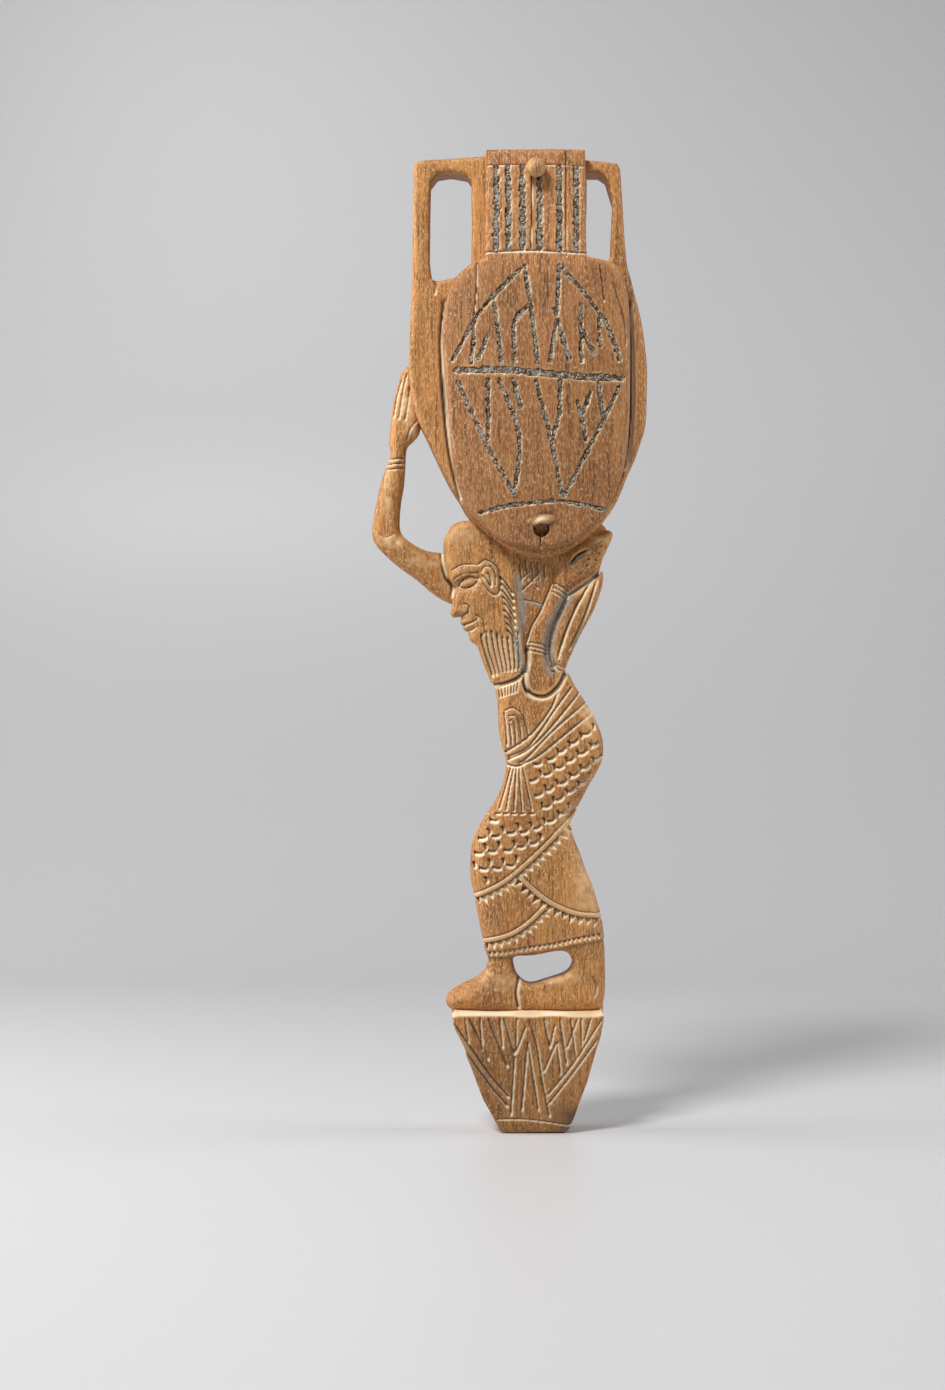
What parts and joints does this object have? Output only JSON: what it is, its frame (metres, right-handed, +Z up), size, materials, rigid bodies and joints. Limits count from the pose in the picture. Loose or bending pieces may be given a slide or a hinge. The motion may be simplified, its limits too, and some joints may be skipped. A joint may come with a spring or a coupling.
{
  "type": "cosmetic spoon",
  "caption": "Ancient carved wooden cosmetic spoon: a bearded porter on a tapered base carries a handled jar whose swivel lid turns on a peg.",
  "frame": {"origin": "middle of the flat foot under the base", "axes": "+Z up along the figure to the jar's neck, front with the lid towards -Y, +X to the right as seen from the front"},
  "size_m": [0.0833, 0.0257, 0.2952],
  "materials": {
    "body_wood": "satin",
    "lid_wood": "satin",
    "peg_wood": "matte",
    "knob_wood": "satin",
    "blue_grey_paste": "matte"
  },
  "bodies": {
    "carved_body": {"spoon_body": "body_wood", "pivot_peg": "peg_wood", "arm_recess_paste": "blue_grey_paste"},
    "lid_body": {"lid": "lid_wood", "closure_knob": "knob_wood", "neck_stripe_paste": "blue_grey_paste", "shoulder_frieze_paste": "blue_grey_paste", "waist_band_paste": "blue_grey_paste", "belly_frieze_paste": "blue_grey_paste", "foot_line_paste": "blue_grey_paste"}
  },
  "joints": [
    {"name": "lid_swivel", "type": "hinge", "parent": "carved_body", "child": "lid_body", "pos_m": [0.0021, 0, 0.1812], "axis": [0, 1, 0], "range_deg": [-105, 105]}
  ]
}
